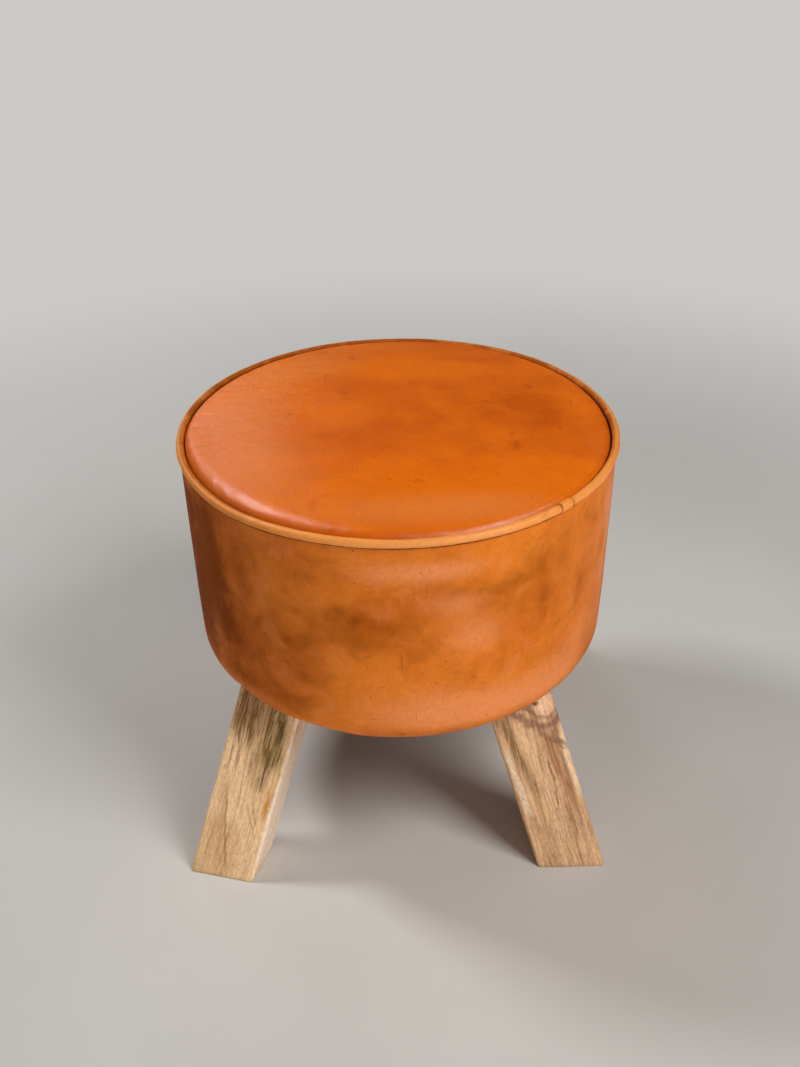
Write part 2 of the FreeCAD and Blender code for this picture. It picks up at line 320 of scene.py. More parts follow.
def leather_material(name, base, deep, dark, pink, shine, soft, worn, grain=1.0, mottle=0.4, dulls=0.1):
    """Waxed hide: mottled dye, darker patches, pores and scratches, and a fine pebbled grain."""
    t = Tree(name)
    p = t.position()
    broad = t.noise(p, 9.0, 3, 0.55)
    middle = t.noise(p, 34.0, 5, 0.6, 0.6)
    small = t.noise(p, 170.0, 4, 0.65)
    shade, grime = t.attribute("shade"), t.attribute("grime")
    dye = t.range(shade, -0.5, 0.0, 0.05, 0.85)
    colour = t.mix(t.times(t.range(broad, 0.34, 0.66), dye), base, deep)
    colour = t.mix(t.times(t.range(middle, 0.46, 0.76), 0.28 * mottle), colour, dark)
    colour = t.mix(t.times(t.range(middle, 0.48, 0.28), 0.28 * mottle), colour, pink)
    ragged = t.plus(middle, t.swing(small, 0.7))
    edge = t.times(shade, t.range(ragged, 0.2, 0.8, 0.55, 1.35))
    colour = t.mix(t.times(t.range(edge, 0.0, 1.4, curve="LINEAR"), 0.9), colour, dark)
    rosy = t.plus(t.attribute("rosy"), t.swing(broad, 0.4))
    colour = t.mix(t.times(t.range(rosy, 0.1, 0.9), 0.85), colour, pink)
    colour = t.scaled(colour, small, 0.32, 0.72, 1 - 0.075 * worn, 1 + 0.07 * worn)
    colour = t.scaled(colour, t.noise(p, 520.0, 2, 0.6), 0.3, 0.7, 1 - 0.06 * worn, 1 + 0.055 * worn)
    # pores, and specks of two sizes
    dots = t.times(t.range(t.voronoi(p, 260.0), 0.14, 0.04), t.range(t.noise(p, 60.0, 2), 0.5, 0.7))
    colour = t.mix(t.times(dots, 0.6), colour, dark)
    for spacing, size, low, shift, depth in ((46.0, 0.062, 0.50, 0.0, 0.85), (95.0, 0.110, 0.44, 3.0, 0.8)):
        marks = t.voronoi(t.mapped(p, (1, 1, 1), offset=(shift, shift, 0)), spacing)
        places = t.noise(t.mapped(p, (1, 1, 1), offset=(shift, 0, 0)), 21.0, 1)
        amount = t.times(t.range(marks, size, size * 0.45), t.range(places, low, low + 0.08), depth * worn)
        colour = t.mix(amount, colour, darker(dark, 0.4))
    # scratches: two stretched noises, cut thin
    scratch = t.noise(t.mapped(p, (40.0, 40.0, 420.0), turn=(0.5, 0.3, 0.9)), 1.0, 2)
    other = t.noise(t.mapped(p, (300.0, 28.0, 28.0), turn=(0.2, 0.7, 0.4)), 1.0, 2)
    lines = t.math("MAXIMUM", t.times(t.range(scratch, 0.68, 0.74), t.range(t.noise(p, 15.0, 1), 0.46, 0.6)),
                   t.times(t.range(other, 0.69, 0.75), t.range(t.noise(p, 12.0, 1), 0.48, 0.6)))
    colour = t.mix(t.times(lines, 0.35), colour, dark)
    # painted shade in grooves, seams, creases and under the piping, with some dirt
    colour = t.mix(t.times(grime, 0.85), colour, darker(dark, 0.3))
    # relief
    cells = t.voronoi(t.mix(0.02, p, t.noise(p, 320.0, 1, output="Color"), "ADD"), 760.0)
    pebble = t.times(cells, t.range(t.noise(p, 48.0, 2), 0.2, 0.8, 0.5, 1.0))
    relief = t.plus(t.times(pebble, -0.6), t.times(t.noise(p, 1300.0, 2), 0.35))
    relief = t.minus(t.minus(relief, t.times(lines, 0.8)), t.times(dots, 0.6))
    normal = t.bump(relief, 0.34 * grain, 0.0006)
    normal = t.bump(t.noise(p, 46.0, 4, 0.55), 0.28, 0.0035, normal)
    rough = t.plus(t.range(middle, 0.3, 0.7, soft - 0.06, soft + 0.06), t.swing(small, 0.16))
    rough = t.plus(t.plus(rough, t.times(grime, 0.25)), t.times(shade, dulls))
    t.finish(colour, rough, normal, Specular_IOR_Level=shine)
    # Darker dye, painted shade and dirt shine less. The socket's own value, set above, is what an export keeps.
    gloss = t.times(t.range(shade, 0.0, 1.0, shine, shine * 0.35), t.range(grime, 0.0, 0.9, 1.0, 0.0))
    t.put(t.shader.inputs["Specular IOR Level"], gloss)
    return t.material


leather_seat = leather_material("leather_seat", (0.80, 0.158, 0.001), (0.64, 0.100, 0.001), (0.36, 0.045, 0.001),
                                (0.81, 0.215, 0.036), shine=0.40, soft=0.215, worn=0.45)
leather_side = leather_material("leather_side", (0.76, 0.195, 0.015), (0.58, 0.120, 0.004), (0.20, 0.038, 0.001),
                                (0.82, 0.27, 0.090), shine=0.12, soft=0.5, worn=0.72, mottle=1.0)
leather_piping = leather_material("leather_piping", (0.90, 0.315, 0.066), (0.80, 0.25, 0.034), (0.30, 0.056, 0.002),
                                  (0.84, 0.32, 0.09), shine=0.3, soft=0.32, worn=0.6, grain=0.8, dulls=0.4)


def thread_material():
    t = Tree("thread_dark")
    p = t.position()
    colour = t.mix(t.noise(p, 900.0), (0.045, 0.010, 0.002), (0.11, 0.028, 0.006))
    return t.finish(colour, 0.8, t.bump(t.noise(p, 2600.0), 0.6, 0.0002), Specular_IOR_Level=0.1)


def foam_material():
    t = Tree("foam_open_cell")
    p = t.position()
    colour = t.mix(t.range(t.noise(p, 20.0), 0.35, 0.65), (0.78, 0.70, 0.48), (0.70, 0.61, 0.38))
    return t.finish(colour, 0.95, t.bump(t.voronoi(p, 900.0), 0.6, 0.0008))


thread, foam = thread_material(), foam_material()


def wood_material(name, seed, pith, tilt, tone, streaks, calm=0.40, knots=(), bands=(), arcs=()):
    """Solid hardwood sawn lengthwise. The pattern is cut from one block, so faces and ends agree.

    Its own streaks are given one by one, in the leg's own millimetres.
    bands: (x at the top, x at the bottom, half width, upper z, lower z, strength, colour, least share).
    arcs: (x, z, x radius, z radius, half width, strength, colour), seen on the front face."""
    t = Tree(name)
    grain = t.attribute("grain", "Vector")
    local = t.mapped(grain, (1, 1, 1), offset=seed)

    def cut(across, along, detail, roughness=0.5, output="Fac"):
        """Noise in the block, so many features to the metre across and along it."""
        return t.noise(t.mapped(local, (across, across, along)), 1.0, detail, roughness, output=output)

    def bent(start, across, along, amount):
        """Places pushed about sideways, so that the grain wanders."""
        inputs = {0: cut(across, along, 3, output="Color"), 1: (amount, amount, 0.0), 2: start}
        return t.add("VectorMath", inputs, operation="MULTIPLY_ADD").outputs[0]

    slow = bent(grain, 9.0, 3.2, 0.030)
    flow = bent(slow, 70.0, 22.0, 0.006)

    def drawn(across, along, shift, detail=4, roughness=0.6, distortion=0.3):
        """Noise drawn out along the length, following the grain's bends."""
        place = t.mapped(flow, (across, across, along), offset=(seed[0] + shift, *seed[1:]))
        return t.noise(place, 1.0, detail, roughness, distortion)

    x, y, z = t.split(slow)
    ring = t.length(*(t.minus(side, t.plus(middle, t.times(z, slant)))
                      for side, middle, slant in zip((x, y), pith, tilt)))
    hearts = []
    for kx, ky, kz, size in knots:
        away = t.length(t.minus(x, kx), t.times(t.minus(y, ky), 0.35), t.times(t.minus(z, kz), 0.8))
        near = t.range(away, size * 3.4, 0.0)
        ring = t.plus(ring, t.times(near, near, size * 1.6))
        hearts.append(t.range(away, size * 0.5, size * 0.12))
    # growth rings of uneven width
    phase = t.plus(t.times(ring, 170.0), t.swing(cut(320.0, 14.0, 2), 0.7))
    rings = t.add("TexNoise", {"W": phase, "Detail": 4, "Roughness": 0.66, "Scale": 1.0},
                  noise_dimensions="1D").outputs["Fac"]
    pale, warm, brown, dim = tone
    colour = t.ramp(rings, (0.30, brown), (0.42, warm), (0.54, pale), (0.66, warm), (0.78, brown))
    colour = t.mix(calm, colour, pale)
    # broad soft streaks along the length, then narrow crisp ones
    colour = t.mix(t.times(t.range(drawn(34.0, 3.0, 0.0), 0.5, 0.68), streaks), colour, dim)
    narrow = drawn(300.0, 7.0, 4.0, 5, 0.65)
    colour = t.mix(t.times(t.range(narrow, 0.53, 0.63), 0.80 - 0.75 * calm), colour, brown)
    colour = t.mix(t.times(t.range(narrow, 0.48, 0.38), 0.6), colour, pale)
    level = t.plus(drawn(170.0, 6.0, 9.0, 5, 0.7), t.times(t.attribute("stain"), 0.17))
    colour = t.mix(t.times(t.range(level, 0.61, 0.71), 0.6), colour, darker(dim, 0.6))
    # streaks and figure of this very piece of wood
    own = t.split(grain)
    sway, jag = cut(16.0, 10.0, 3, 0.55), cut(190.0, 80.0, 3, 0.65)
    own_x = t.plus(own[0], t.plus(t.swing(sway, 0.014), t.swing(jag, 0.007)))
    own_z = t.plus(own[2], t.swing(jag, 0.008))
    wisps = drawn(460.0, 15.0, 13.0, 4, 0.65, 0.6)
    for first, last, width, upper, lower, strength, tint, least in in_metres(bands, 0, 5):
        slope = (last - first) / (upper - lower)
        off = t.math("ABSOLUTE", t.minus(own_x, t.math("MULTIPLY_ADD", own_z, -slope, first + slope * upper)))
        amount = t.times(t.range(off, width, width * 0.15), t.range(own_z, lower - 0.016, lower + 0.008),
                         t.range(own_z, upper + 0.012, upper - 0.012),
                         t.range(wisps, 0.44, 0.56, least * strength, strength))
        colour = t.mix(amount, colour, tint)
    curls = t.split(cut(52.0, 52.0, 4, 0.6, "Color"))
    far_x, far_z = t.plus(t.swing(curls[0], 0.016), own_x), t.plus(t.swing(curls[1], 0.019), own_z)
    front = t.range(own[1], 0.002, LEG_T / 2 - 0.003)
    for cx, cz, rx, rz, width, strength, tint in in_metres(arcs, 0, 5):
        away = t.length(t.math("MULTIPLY_ADD", far_x, 1 / rx, -cx / rx),
                        t.math("MULTIPLY_ADD", far_z, 1 / rz, -cz / rz))
        off = t.math("ABSOLUTE", t.minus(away, 1.0))
        amount = t.times(t.range(off, width / rx, width / rx * 0.2), t.range(curls[2], 0.3, 0.6, 0.45, 1.0),
                         front, strength)
        colour = t.mix(amount, colour, tint)
    # fibres, short dark pores, hearts of the knots
    fibre = cut(900.0, 30.0, 3, 0.6)
    colour = t.scaled(colour, fibre, 0.3, 0.7, 0.84, 1.13)
    colour = t.scaled(colour, cut(420.0, 190.0, 3, 0.6), 0.3, 0.7, 0.88, 1.10)
    pores = t.noise(t.mapped(flow, (800.0, 800.0, 170.0)), 1.0, 1)
    pores = t.times(t.range(pores, 0.63, 0.71), t.range(cut(90.0, 20.0, 2), 0.38, 0.58))
    colour = t.mix(t.times(pores, 0.75 - 0.6 * calm), colour, darker(brown, 0.5))
    for heart in hearts:
        colour = t.mix(t.times(heart, 0.9), colour, (0.045, 0.022, 0.012))
    # darker at the foot: the bottom 4 mm darker towards the floor, and dirt splashed up the lowest 3 cm
    colour = t.mix(t.times(t.attribute("grime"), 0.5), colour, darker(brown, 0.35))
    relief = t.plus(t.minus(t.times(fibre, 0.5), t.times(pores, 0.9)), t.times(rings, 0.35))
    rough = t.range(rings, 0.3, 0.75, 0.62, 0.5)
    return t.finish(colour, rough, t.bump(relief, 0.35, 0.0007), Specular_IOR_Level=0.18)


def patch_values(first, second, patches, round_rim=False):
    """Sum of soft spots: each is (first, second, first radius, second radius, strength).

    Round the rim, first is an angle in degrees, and its radius is measured along the side."""
    total = np.zeros(len(first))
    for a, b, ra, rb, strength in in_metres(patches, 1 if round_rim else 0, 4):
        off = np.radians((first - a + 180) % 360 - 180) * RIM_R if round_rim else first - a
        total += strength * np.exp(-(off / ra) ** 2 - ((second - b) / rb) ** 2)
    return total


# Spots of darker and of pinker dye on the seat: x, y, x radius, y radius in millimetres, strength. The pink spots
# over the left half are partly a painted sheen.
SEAT_DARK = [
    (150, -120, 70, 35, -0.75), (40, 130, 120, 40, -0.60), (50, -150, 100, 30, -0.40), (190, 30, 18, 50, -0.50),
    (-30, -110, 60, 25, -0.35), (30, -20, 80, 35, 0.30), (130, 30, 90, 50, 0.50), (-50, -50, 60, 25, 0.28),
    (180, -10, 40, 60, 0.35), (50, 70, 100, 30, 0.22), (-70, 50, 50, 20, 0.15), (100, -60, 80, 20, 0.28),
    (150, 100, 50, 40, 0.30), (90, 155, 80, 14, 0.25), (-90, -110, 50, 20, 0.15), (0, 20, 50, 20, 0.18),
    (-86, -45, 35, 18, 0.25), (-132, 12, 22, 12, 0.22), (-77, -119, 30, 14, 0.30), (-107, -146, 30, 12, 0.30),
]
SEAT_ROSY = [
    (-170, 20, 70, 130, 0.65), (-100, 140, 90, 60, 0.50), (-130, -110, 60, 60, 0.45), (0, -180, 120, 35, 0.55),
    (100, -170, 80, 30, 0.35), (-20, 200, 90, 20, 0.35), (90, 170, 60, 20, 0.25), (200, -60, 20, 60, 0.3),
    (170, -110, 40, 20, -0.5), (30, 100, 100, 30, -0.4),
]


def seat_panel():
    """Crowned, rolled down into the groove inside the piping, with its pad under it."""
    columns = 760
    angles = np.linspace(0, FULL_TURN, columns, endpoint=False)
    degrees = np.degrees(angles)
    # how big the roll is, how high its top stands and how far out it reaches, round the rim
    roll = around(degrees, [(0, 0.0085), (60, 0.0080), (150, 0.0072), (178, 0.0072), (192, 0.0105), (208, 0.0195),
                            (226, 0.0240), (245, 0.0195), (270, 0.0135), (300, 0.0110), (330, 0.0095)])
    roll *= 1 + 0.06 * layered(turned(SEAT_R, 0, angles), 14.0, 91)
    high = around(degrees, [(0, 0.4412), (60, 0.4410), (95, 0.4402), (150, 0.4404), (180, 0.4412), (195, 0.4424),
                            (210, 0.4440), (226, 0.4448), (245, 0.4440), (270, 0.4422), (300, 0.4424), (330, 0.4420)])
    reach = around(degrees, [(0, 0.2206), (60, 0.2212), (150, 0.2212), (190, 0.2218), (226, 0.2226), (270, 0.2218),
                             (315, 0.2214), (345, 0.2206)])
    lean = np.arctan(CROWN * (SEAT_TOP_Z - high) / (reach - roll))
    centre_r = reach - roll - roll * np.sin(lean)
    centre_z = high - roll * np.cos(lean)
    # rings of the crown, of the roll and of the short wall down to the hem
    crown, bend, wall = (np.linspace(0, 1, count)[1:, None] for count in (92, 24, 9))
    bend = (math.pi / 2 - lean) * (1 - bend)
    radius = np.vstack([(reach - roll) * crown, centre_r + (reach - centre_r) * np.cos(bend), reach + 0 * wall])
    height = np.vstack([SEAT_TOP_Z - (SEAT_TOP_Z - high) * crown**CROWN, centre_z + roll * np.sin(bend),
                        centre_z + (SEAT_HEM_Z - centre_z) * wall])
    rows = len(radius)
    points = np.vstack([[0, 0, SEAT_TOP_Z], turned(radius, height, angles)])
    from_middle = np.hypot(points[:, 0], points[:, 1])
    # slow waves over the crown, short puckers where it is pulled into the seam
    circle = turned(SEAT_R, 0, np.arctan2(points[:, 1], points[:, 0]))
    points[:, 2] += 0.0009 * layered(points, 9.0, 5) * rise(0.216 - from_middle, 0.06)
    pucker = layered(circle, 55.0, 11) * 0.00055 + smooth_noise(circle, 150.0, 21) * 0.00018
    points[:, 2] += pucker * bell(from_middle - 0.211, 0.010)
    # the hide's under side, on fewer rings, joined to the upper side at the hem
    height = points[1:, 2].reshape(rows, columns)
    out_r, out_z = outward(radius, height)
    kept = [*range(6, 91, 7), *range(92, 114, 2), rows - 1]
    inner = turned((radius - SEAT_HIDE * out_r)[kept], (height - SEAT_HIDE * out_z)[kept], angles)
    count = len(points)
    hide = np.vstack([points, points[0] - (0, 0, SEAT_HIDE), inner])
    faces = dome_faces(rows, columns) + dome_faces(len(kept), columns, first=count, flip=True)
    faces += band_faces(count - columns, len(hide) - columns, columns)
    obj = make_object("seat_panel", hide, faces, leather_seat)
    x, y, z = hide.T
    degrees, from_middle = np.degrees(np.arctan2(y, x)), np.hypot(x, y)
    # painted shade on the outer slope of the roll at the front left, which is in shade
    slope = rise(from_middle - 0.2125, 0.004) * around(
        degrees, [(0, 0.0), (165, 0.10), (195, 0.45), (240, 0.45), (265, 0.15), (300, 0.0)])
    # painted shade, with some dirt, down in the groove inside the piping, stronger at some places round the rim
    depth = rise(0.4378 - z, 0.005) * (from_middle > 0.2)
    darkening = around(degrees, [(0, 0.40), (50, 0.45), (90, 0.70), (180, 0.60), (225, 0.85), (300, 0.75)])
    set_attributes(obj, shade=patch_values(x, y, SEAT_DARK) + slope, rosy=patch_values(x, y, SEAT_ROSY),
                   grime=depth * darkening)
    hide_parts("top_leather")
    # the pad under it, down to the top board
    from_middle = np.hypot(points[:, 0], points[:, 1])
    less = PAD_GAP / np.maximum(from_middle, 0.2) * (from_middle > 0.01)
    under = points * np.column_stack([1 - less, 1 - less, np.ones(count)]) - (0, 0, PAD_GAP)
    foot = under[-columns:] * (1, 1, 0) + (0, 0, TOP_BOARD_Z)
    under = np.vstack([under, foot, [0, 0, TOP_BOARD_Z]])
    faces = dome_faces(rows + 1, columns) + fan_faces(count + columns, count, columns, flip=True)
    pad = make_object("seat_pad_foam", under, faces, foam)
    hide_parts("seat_foam")


seat_panel()


class LegPlace:
    """A leg's own directions: across its face, out of its face, up its length."""

    def __init__(self, head_angle, reach, turn):
        a, t = math.radians(head_angle), math.radians(turn)
        side, end = math.copysign(1, math.cos(a)), math.copysign(1, math.sin(a))
        lean = math.tan(math.radians(LEG_LEAN))
        up = Vector((-side * lean, -end * lean, 1)).normalized()
        out = Vector((side * math.sin(t), end * math.cos(t), 0))
        out = (out - up * out.dot(up)).normalized()
        self.head = np.array([reach * math.cos(a), reach * math.sin(a), LEG_TOP_Z])
        self.axes = np.array([out.cross(up), out, up])

    def local(self, points):
        return (points - self.head) @ self.axes.T

    def world(self, points, heights):
        """Where points of the leg are, after they slide along it to these heights."""
        place = points @ self.axes + self.head
        up = self.axes[2]
        return place + np.outer((heights - place[:, 2]) / up[2], up)


leg_places = {
    "front_left": LegPlace(224.05, 0.169, 19.0),
    "front_right": LegPlace(314.75, 0.1556, 6.0),
    "back_left": LegPlace(134.75, 0.1556, 6.0),
    "back_right": LegPlace(44.05, 0.169, 19.0),
}


def box_distance(local):
    """Distance outside a leg's four long faces."""
    off = np.abs(local[:, :2]) - (LEG_W / 2, LEG_T / 2)
    return np.hypot(*np.maximum(off, 0).T) + np.minimum(off.max(axis=1), 0)


# Spots on the side: angle in degrees, then height, spread along and spread in height in millimetres, strength. The
# big strong dark spots round 185 to 222 degrees darken the left side, partly darker dye and partly painted shade on
# the side turned from the key light; the pink spots along the right edge partly paint a sheen there, and the pink and
# lighter spots low on the front partly paint the light from the floor.
SIDE_DARK = [
    (285, 238, 90, 26, -0.5), (315, 230, 50, 30, -0.45), (330, 330, 10, 50, -0.4), (334, 385, 16, 20, -0.35),
    (322, 326, 10, 30, 0.26), (341, 335, 8, 30, 0.2), (281, 366, 36, 14, 0.14), (262, 372, 12, 6, 0.22),
    (248, 392, 14, 5, 0.2), (255, 338, 36, 18, 0.42), (260, 358, 18, 10, 0.38), (266, 345, 20, 12, 0.3),
    (250, 352, 20, 16, 0.22), (262, 322, 45, 16, 0.35), (272, 340, 30, 18, 0.3), (246, 318, 12, 9, 0.35),
    (240, 352, 14, 10, 0.28), (246, 268, 16, 7, 0.45), (242, 300, 40, 30, 0.28), (231, 268, 12, 16, 0.4),
    (236, 320, 16, 30, 0.3), (228, 380, 24, 30, 0.42), (222, 290, 34, 45, 0.62), (214, 350, 32, 80, 1.2),
    (201, 310, 45, 90, 1.45), (222, 235, 40, 20, 0.55), (238, 232, 45, 16, 0.38), (252, 240, 30, 14, 0.22),
    (205, 400, 40, 20, 0.7), (284, 373, 12, 8, 0.28), (278, 362, 20, 10, 0.22), (290, 355, 18, 10, 0.26),
    (297, 372, 30, 14, 0.34), (306, 385, 24, 16, 0.34), (300, 352, 26, 12, 0.3), (314, 400, 18, 18, 0.3),
    (310, 345, 18, 20, 0.22), (287, 335, 20, 10, 0.18), (279, 386, 30, 14, 0.3), (289, 376, 30, 12, 0.25),
    (308, 360, 28, 22, 0.2), (296, 262, 24, 12, 0.2), (330, 335, 12, 30, 0.22), (270, 208, 4, 2, 0.8),
    (30, 330, 50, 40, 0.4), (70, 290, 60, 30, 0.45), (95, 380, 50, 25, 0.35), (241, 369, 7, 4, 0.3),
    (244, 349, 6, 5, 0.34), (224, 279, 7, 5, 0.34), (241, 310, 9, 5, 0.3), (255, 360, 7, 5, 0.3),
    (259, 350, 6, 4, 0.34), (265, 375, 7, 4, 0.26), (252, 413, 10, 4, 0.26), (230, 352, 8, 6, 0.3),
    (232, 321, 7, 9, 0.34), (222, 256, 7, 6, 0.34), (241, 281, 10, 3, 0.4), (243, 274, 8, 3, 0.36),
    (282, 371, 4, 6, 0.3), (289, 376, 3, 3, 0.34), (300, 380, 4, 3, 0.34), (307, 341, 6, 6, 0.26),
    (313, 376, 9, 10, 0.16), (316, 362, 10, 14, 0.12), (196, 360, 20, 60, 0.4), (200, 260, 25, 30, 0.4),
    (130, 310, 50, 40, 0.5), (165, 350, 40, 50, 0.45), (150, 250, 60, 20, 0.4), (350, 260, 40, 30, 0.3),
    (110, 240, 50, 20, 0.3), (185, 390, 30, 30, 0.5),
]
SIDE_ROSY = [
    (284, 405, 50, 12, 0.5), (275, 262, 60, 25, 0.35), (288, 326, 36, 28, 0.7), (283, 368, 40, 16, 0.55),
    (339, 315, 16, 50, 0.45), (325, 280, 24, 40, 0.35), (338, 400, 24, 30, 0.6), (268, 405, 60, 16, 0.6),
    (345, 390, 24, 30, 0.35), (290, 215, 110, 22, 0.25), (300, 250, 60, 20, 0.35), (318, 255, 40, 30, 0.3),
    (20, 280, 60, 40, 0.4), (60, 370, 60, 30, 0.5), (120, 360, 60, 30, 0.35), (282, 235, 70, 20, 0.5),
    (300, 225, 50, 16, 0.4), (213, 270, 16, 40, 0.3), (225, 215, 40, 10, 0.4), (270, 235, 110, 18, 0.2),
    (331, 322, 7, 22, -0.75), (324, 294, 8, 14, -0.6), (335, 346, 6, 14, -0.6), (341, 350, 16, 30, 0.45),
    (318, 225, 50, 18, 0.35), (340, 260, 24, 30, 0.35),
]


def side_profile():
    """From the seam under the piping down the side, round below and in to the hem's edge."""
    down = [(0.2240, 0.4334), (0.2254, 0.4332), (0.2263, 0.4326), (SIDE_TOP_R - 0.0001, 0.4314),
            (SIDE_TOP_R, 0.4300), (0.2266, 0.400), (0.2260, 0.340), (0.2250, 0.275)]
    for turn in np.radians(np.linspace(0, 90, 40)):
        down.append((ROUND_CENTRE_R + (SIDE_LOW_R - ROUND_CENTRE_R) * math.cos(turn),
                     ROUND_TOP_Z - (ROUND_TOP_Z - BOTTOM_Z) * math.sin(turn)))
    return resample(down + [(0.130, BOTTOM_Z), (HEM_R, BOTTOM_Z)], 0.0021)


def seam_depth(radius, height):
    """How deep the edges of the upright seams turn in: less where the padding lies close under the leather."""
    below = rise(ROUND_TOP_Z - height, ROUND_TOP_Z - BOTTOM_Z)
    return np.where(height > ROUND_TOP_Z, np.clip(radius - FOAM_R - 0.0003, 0.0003, 0.0019),
                    0.0003 + 0.0016 * below)


def side_panel(name, start, node):
    """Half of the side, sewn to the other half at the upright seams, with a hem under the body."""
    profile = side_profile()
    gap, edge_zone = 0.0006 / SIDE_TOP_R, 0.0035 / SIDE_TOP_R
    begin, end = math.radians(start) + gap / 2, math.radians(start + 180) - gap / 2
    near = np.linspace(0, edge_zone, 7)[:-1]
    angles = np.concatenate([begin + near, np.linspace(begin + edge_zone, end - edge_zone, 520), end - near[::-1]])
    rows, columns = len(profile), len(angles)
    outer = turned(profile[:, :1], profile[:, 1:], angles)
    normals = turned(*(part[:, None] for part in outward(*profile.T)), angles)
    radius, height = np.repeat(profile, columns, axis=0).T
    angle = np.tile(angles, rows)
    # gentle unevenness of the padding, more in the lower round
    move = 0.0007 * layered(outer, 8.0, 31) * rise(0.43 - height, 0.03)
    move += 0.0006 * layered(outer, 26.0, 37) * rise(0.235 - height, 0.03)
    # gathers where the leather is drawn in under the body
    folds = np.tile(layered(turned(0.13, 0, angles), 60.0, 41), rows)
    gathered = rise(0.190 - radius, 0.03) * rise(radius - 0.1, 0.02) * (height < UNDER_Z)
    move += 0.0011 * folds * gathered
    # small puckers along the top seam
    pucker = np.tile(smooth_noise(turned(RIM_R, 0, angles), 160.0, 43), rows)
    move += 0.0002 * pucker * bell(height - 0.427, 0.006)
    # edges of the upright seams turn in
    from_edge = np.minimum(angle - begin, end - angle) * np.maximum(radius, 0.15)
    turn_in = bell(from_edge, 0.0016)
    move -= seam_depth(radius, height) * turn_in
    # pressed in round each leg
    away = np.min([box_distance(place.local(outer)) for place in leg_places.values()], axis=0)
    crease = bell(np.maximum(away, 0), 0.0045) * (height < 0.24)
    move -= 0.0016 * crease
    shown = outer + normals * move[:, None]
    dip = around(np.degrees(angle), RIM_DIP)
    shown[:, 2] -= 0.4 * dip * rise(height - 0.40, 0.03)
    points = np.vstack([shown, shown - normals * SIDE_HIDE])
    obj = make_object(name, points, shell_faces(rows, columns), leather_side)
    degrees = np.degrees(angle) % 360
    # painted shade: a dark line just under the piping, along the turned-in edges of the upright seams and in the
    # creases round the legs, and a little darker under the body
    shade_below_piping = rise(shown[:, 2] - (PIPE_Z - dip - PIPE_S) + 0.0013, 0.0007)
    under = rise(0.168 - radius, 0.03) * (height < UNDER_Z)
    grime = np.max([shade_below_piping, turn_in * 0.9, crease**3 * 0.8, 0.25 * under], axis=0)
    shade = 1.25 * patch_values(degrees, height, SIDE_DARK, round_rim=True)
    rosy = patch_values(degrees, height, SIDE_ROSY, round_rim=True)
    set_attributes(obj, shade=np.tile(shade, 2), rosy=np.tile(rosy, 2), grime=np.tile(grime, 2))
    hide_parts(node)


side_panel("side_panel_front", SIDE_SEAM + 180, "side_leather_front")
side_panel("side_panel_back", SIDE_SEAM, "side_leather_back")


def seam_backing():
    """The strip of hide behind each upright seam, seen only between the two edges, painted near black as the shade in
    the seam.
    """
    profile = side_profile()[3:]
    radius, height = profile.T
    out_r, out_z = outward(radius, height)
    depth = seam_depth(radius, height)
    half, thick = 0.0012, 0.0008
    points, faces = [], []
    for k, seam in enumerate((SIDE_SEAM, SIDE_SEAM + 180)):
        cos, sin = math.cos(math.radians(seam)), math.sin(math.radians(seam))
        faces += tube_faces(len(profile), 4, first=4 * k * len(profile))
        corners = []
        for across, more in ((-half, 0.0), (half, 0.0), (half, thick), (-half, thick)):
            r, z = radius - out_r * (depth + more), height - out_z * (depth + more)
            corners.append(np.column_stack([cos * r - sin * across, sin * r + cos * across, z]))
        points.append(np.stack(corners, axis=1).reshape(-1, 3))
    points = np.vstack(points)
    strip = make_object("side_seam_backing", points, faces, leather_side)
    # painted shade: the whole strip is darkened
    set_attributes(strip, grime=np.ones(len(points)))
    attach(strip, "root")


seam_backing()


